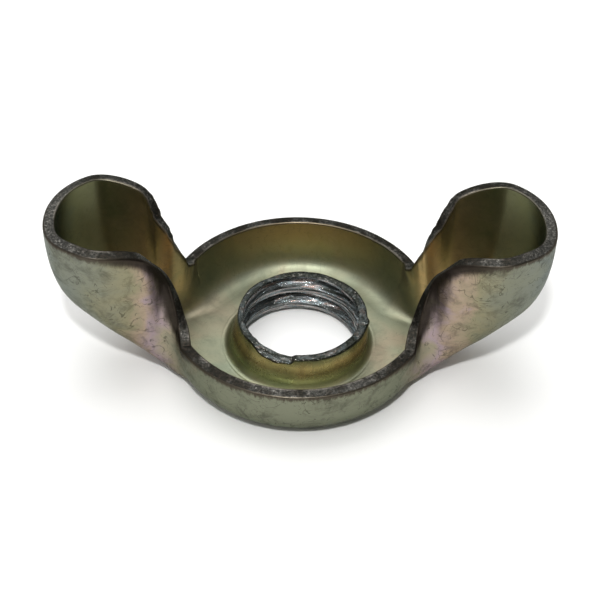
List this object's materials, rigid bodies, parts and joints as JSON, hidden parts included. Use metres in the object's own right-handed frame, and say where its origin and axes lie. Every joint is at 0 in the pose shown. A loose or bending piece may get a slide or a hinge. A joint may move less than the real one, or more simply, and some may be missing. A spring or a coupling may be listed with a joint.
{
  "type": "pressed wing nut",
  "caption": "One-piece pressed sheet-steel wing nut: shallow dished body, drawn and tapped collar, and upright hollow wings.",
  "frame": {"origin": "centre of the bore on the flat bearing face", "axes": "+Z along the bore, from the bearing face towards the wings' tips; X along the line of the two wings; -Y is the front"},
  "size_m": [0.0296, 0.0158, 0.0105],
  "materials": {
    "passivated_steel": "yellow chromate passivated zinc plate, satin, worn and finely scratched, with dull grey cut edges"
  },
  "bodies": {
    "root": {"pressed_nut": "passivated_steel"}
  },
  "joints": []
}
